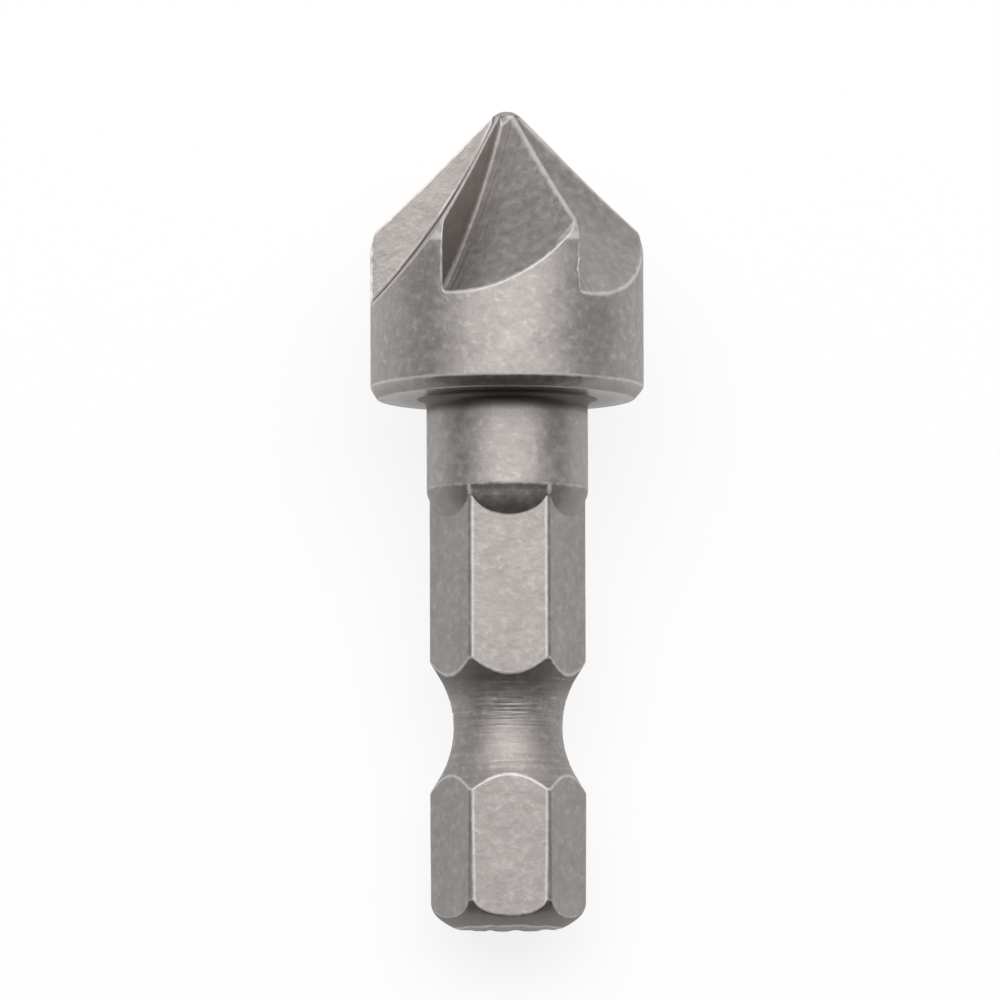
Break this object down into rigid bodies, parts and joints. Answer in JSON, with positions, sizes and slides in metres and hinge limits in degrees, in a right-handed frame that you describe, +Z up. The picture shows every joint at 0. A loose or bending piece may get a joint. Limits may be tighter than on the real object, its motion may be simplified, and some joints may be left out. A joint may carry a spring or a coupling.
{
  "type": "countersink bit",
  "caption": "Multi-flute countersink bit with a 90 degree cutting head, a short round neck and a hex quick-change shank with a detent groove, lying at rest.",
  "frame": {"origin": "centre of the bottom of the bounding box: on the floor, below the middle of the lying bit", "axes": "+Z up from the floor, +Y the horizontal direction in which the point faces, with the bit's own axis tilted up by about 7.3 degrees from +Y because the head is thicker than the shank; +X across the bit"},
  "size_m": [0.0126, 0.038, 0.0132],
  "materials": {
    "steel": "matte"
  },
  "bodies": {
    "root": {"countersink_bit": "steel"}
  },
  "joints": []
}
